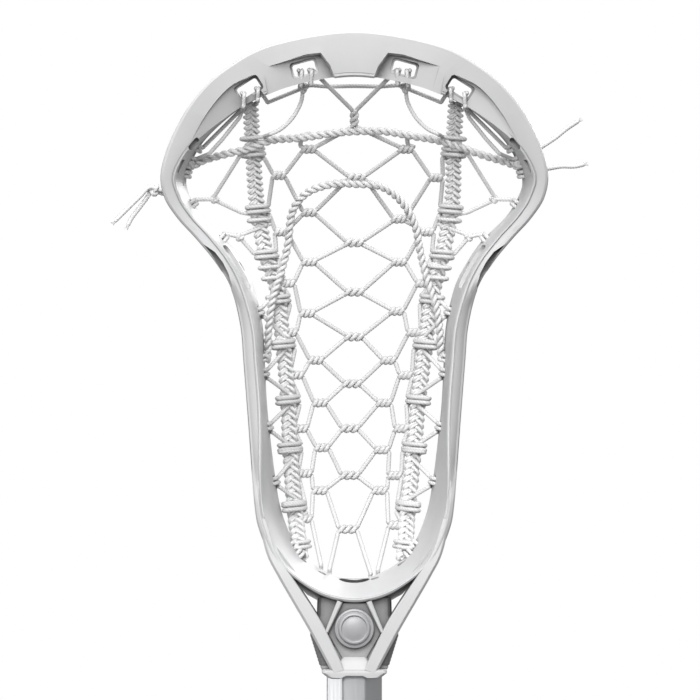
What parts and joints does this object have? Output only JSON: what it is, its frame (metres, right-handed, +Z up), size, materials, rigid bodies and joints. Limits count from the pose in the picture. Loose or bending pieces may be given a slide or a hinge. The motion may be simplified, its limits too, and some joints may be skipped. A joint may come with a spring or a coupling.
{
  "type": "lacrosse stick",
  "caption": "Lacrosse stick with an octagonal metal shaft, a moulded open head, a hand-strung cord pocket with woven runners, a fixing screw and a rubber end cap.",
  "frame": {"origin": "middle of the end cap's lower face, on the shaft's axis", "axes": "+Z up the shaft to the scoop, +Y out of the back of the pocket, so the open face looks to -Y, and +X to the right seen from the open face"},
  "size_m": [0.2191, 0.0798, 1.083],
  "materials": {
    "nylon": "satin",
    "badge": "satin",
    "steel": "satin",
    "foam": "matte",
    "alloy": "satin",
    "rubber": "matte",
    "woven": "matte",
    "cord": "matte"
  },
  "bodies": {
    "stick": {"head_frame": "nylon", "throat_badge": "badge", "ball_stop_pad": "foam", "shaft_tube": "alloy", "left_runner": "woven", "right_runner": "woven", "pocket_mesh": "cord", "left_wing_lace": "cord", "right_wing_lace": "cord", "top_lace": "cord", "straight_shooting_string": "cord", "arched_shooting_string": "cord", "left_sidewall_lace": "cord", "right_sidewall_lace": "cord", "throat_laces": "cord", "left_tail_knot": "cord", "left_tail_long": "cord", "left_tail_short": "cord", "right_tail_upper": "cord", "right_tail_lower": "cord"},
    "screw": {"fixing_screw": "steel"},
    "cap": {"end_cap": "rubber"}
  },
  "joints": [
    {"name": "screw_turn", "type": "hinge", "parent": "stick", "child": "screw", "pos_m": [0, 0.0172, 0.8], "axis": [0, 1, 0], "continuous": true},
    {"name": "end_cap_pull", "type": "slide", "parent": "stick", "child": "cap", "axis": [0, 0, -1], "range_m": [0, 0.045]}
  ]
}
